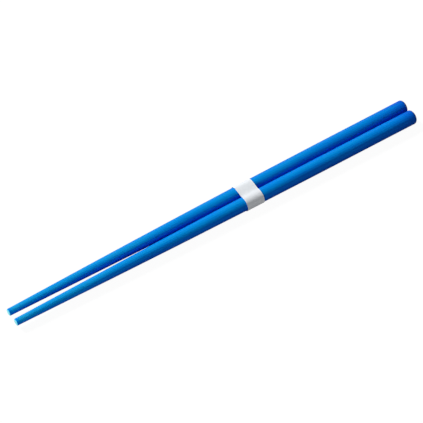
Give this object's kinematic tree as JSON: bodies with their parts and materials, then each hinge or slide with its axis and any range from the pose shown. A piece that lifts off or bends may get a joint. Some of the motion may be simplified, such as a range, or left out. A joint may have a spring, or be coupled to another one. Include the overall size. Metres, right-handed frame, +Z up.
{
  "type": "pair of chopsticks",
  "caption": "Round tapered chopsticks of blue-painted wood with domed handle ends, lying side by side in a narrow paper band.",
  "frame": {"origin": "under the middle of the pair, on the surface that it lies on", "axes": "+X along the pair from the tips to the handle ends, +Y across the pair, +Z up"},
  "size_m": [0.225, 0.0148, 0.0074],
  "materials": {
    "blue_painted_wood": "satin blue paint over turned wood",
    "white_paper": "smooth white paper with a faint sheen"
  },
  "bodies": {
    "root": {"right_chopstick": "blue_painted_wood", "left_chopstick": "blue_painted_wood", "paper_band": "white_paper"}
  },
  "joints": []
}
